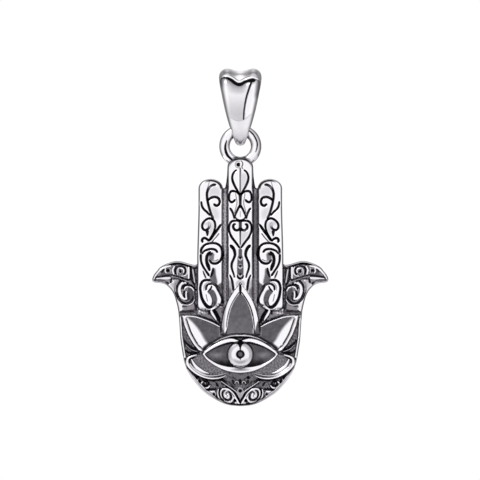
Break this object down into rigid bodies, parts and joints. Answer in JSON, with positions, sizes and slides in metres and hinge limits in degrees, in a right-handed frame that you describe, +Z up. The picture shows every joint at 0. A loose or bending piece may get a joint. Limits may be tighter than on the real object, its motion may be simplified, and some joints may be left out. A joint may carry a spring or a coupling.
{
  "type": "hamsa pendant",
  "caption": "Cast silver hamsa hand pendant with a lotus and an eye on its palm, scrolled fingers, a soldered ring and a folded bail that it swings in.",
  "frame": {"origin": "the chain's seat: the underside of the bail's folded top, at mid-width, where a chain bears", "axes": "+Z up as the pendant hangs, -Y out of its front face, +X to the viewer's right and along the chain"},
  "size_m": [0.0194, 0.0052, 0.0371],
  "materials": {
    "polished_silver": "polished sterling silver",
    "oxidised_silver": "polished sterling silver on the raised faces, blackened by oxide in the recesses"
  },
  "bodies": {
    "bail": {"bail": "polished_silver"},
    "hand": {"hamsa_hand": "oxidised_silver"}
  },
  "joints": [
    {"name": "hand_swing", "type": "hinge", "parent": "bail", "child": "hand", "pos_m": [0, 0, -0.00568], "axis": [1, 0, 0], "range_deg": [-90, 90]}
  ]
}
